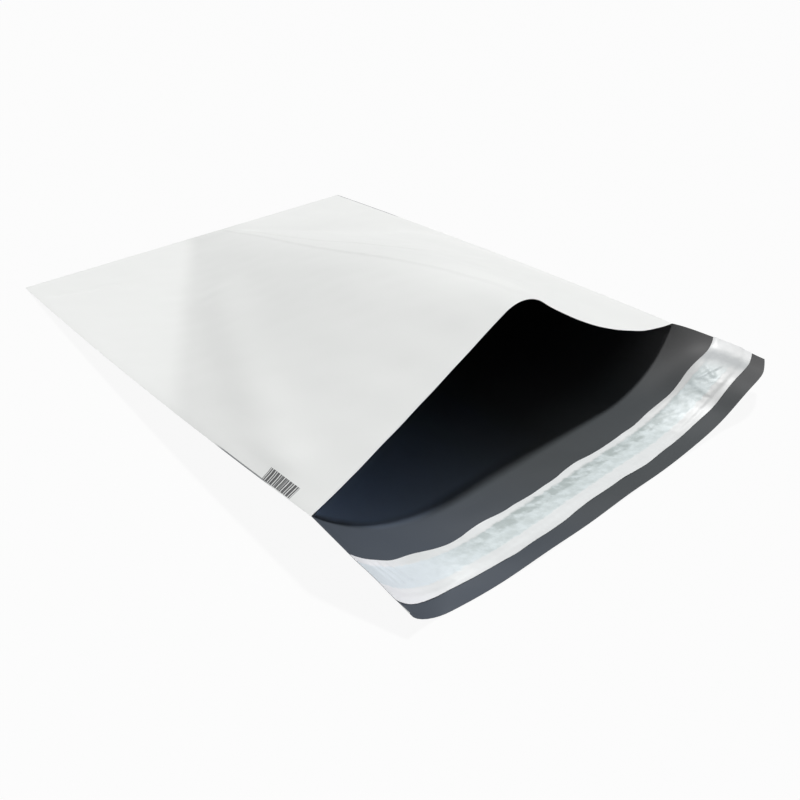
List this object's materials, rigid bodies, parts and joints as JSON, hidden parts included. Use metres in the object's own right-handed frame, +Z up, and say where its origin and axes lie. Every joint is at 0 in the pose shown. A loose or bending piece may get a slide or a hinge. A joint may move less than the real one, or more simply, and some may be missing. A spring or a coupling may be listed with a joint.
{
  "type": "poly mailer bag",
  "caption": "Flat plastic-film mailing bag lying open, white outside and dark grey inside, with a flap that carries an adhesive strip under a release liner.",
  "frame": {"origin": "on the underside of the back panel, in the middle of the film's length and width", "axes": "+Z up from the surface that the bag lies on, +Y along the bag towards its closed end, +X towards its far side"},
  "size_m": [0.2607, 0.3782, 0.0808],
  "materials": {
    "film": "satin white film outside, dark grey inside",
    "adhesive": "tacky, grey-white, mottled",
    "liner": "smooth white release film, lightly crinkled"
  },
  "bodies": {
    "root": {"film_bag": "film", "adhesive_strip": "adhesive", "release_liner": "liner"}
  },
  "joints": []
}
